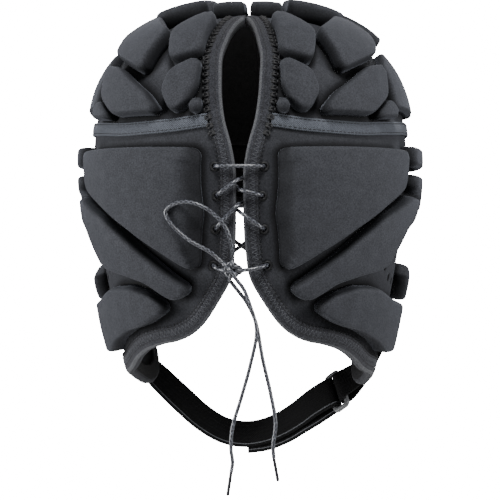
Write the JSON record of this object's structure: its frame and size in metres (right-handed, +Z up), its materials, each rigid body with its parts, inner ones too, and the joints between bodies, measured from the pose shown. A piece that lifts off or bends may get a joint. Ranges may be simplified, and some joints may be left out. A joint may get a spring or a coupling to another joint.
{
  "type": "rugby scrum cap",
  "caption": "A padded rugby scrum cap in charcoal cloth, open at the ears and face, laced down the back of the head and held by a webbing chin strap.",
  "frame": {"origin": "inner apex of the crown, where the cap rests on the head", "axes": "+Z up the head, +Y toward the laced back, +X toward the wearer's left ear"},
  "size_m": [0.187, 0.2207, 0.2572],
  "materials": {
    "shell_cloth": "matte close-knit cloth",
    "padding": "matte cloth over closed-cell foam",
    "edge_tape": "heathered knit binding",
    "seam_tape": "flat knit tape",
    "webbing": "close woven webbing",
    "lace_braid": "round braid with pale flecks",
    "lace_tip": "moulded tip",
    "ring_plastic": "moulded"
  },
  "bodies": {
    "root": {"crown_panel_left": "shell_cloth", "side_panel_left": "shell_cloth", "edge_binding_left": "edge_tape", "seam_ribbon_left": "seam_tape", "crown_pad_ridge_back_left": "padding", "crown_pad_top_back_left": "padding", "crown_pad_upper_back_left": "padding", "crown_pad_slit_upper_left": "padding", "crown_pad_slit_lower_left": "padding", "crown_pad_slit_foot_left": "padding", "crown_pad_lower_back_left": "padding", "crown_pad_corner_left": "padding", "crown_pad_side_back_left": "padding", "crown_pad_ridge_front_left": "padding", "crown_pad_top_front_left": "padding", "crown_pad_side_front_left": "padding", "crown_pad_brow_inner_left": "padding", "crown_pad_brow_outer_left": "padding", "side_pad_nape_left": "padding", "side_pad_sweep_left": "padding", "side_pad_jaw_left": "padding", "side_pad_temple_upper_left": "padding", "side_pad_temple_lower_left": "padding", "side_pad_cheek_left": "padding", "side_pad_brow_left": "padding", "crown_panel_right": "shell_cloth", "side_panel_right": "shell_cloth", "edge_binding_right": "edge_tape", "seam_ribbon_right": "seam_tape", "crown_pad_ridge_back_right": "padding", "crown_pad_top_back_right": "padding", "crown_pad_upper_back_right": "padding", "crown_pad_slit_upper_right": "padding", "crown_pad_slit_lower_right": "padding", "crown_pad_slit_foot_right": "padding", "crown_pad_lower_back_right": "padding", "crown_pad_corner_right": "padding", "crown_pad_side_back_right": "padding", "crown_pad_ridge_front_right": "padding", "crown_pad_top_front_right": "padding", "crown_pad_side_front_right": "padding", "crown_pad_brow_inner_right": "padding", "crown_pad_brow_outer_right": "padding", "side_pad_nape_right": "padding", "side_pad_sweep_right": "padding", "side_pad_jaw_right": "padding", "side_pad_temple_upper_right": "padding", "side_pad_temple_lower_right": "padding", "side_pad_cheek_right": "padding", "side_pad_brow_right": "padding", "lacing": "lace_braid", "lace_knot": "lace_braid", "lace_loop": "lace_braid", "lace_end_left": "lace_braid", "lace_end_right": "lace_braid", "lace_tip_left": "lace_tip", "lace_tip_right": "lace_tip", "chin_strap": "webbing", "strap_tab": "webbing", "strap_ring": "ring_plastic"}
  },
  "joints": []
}
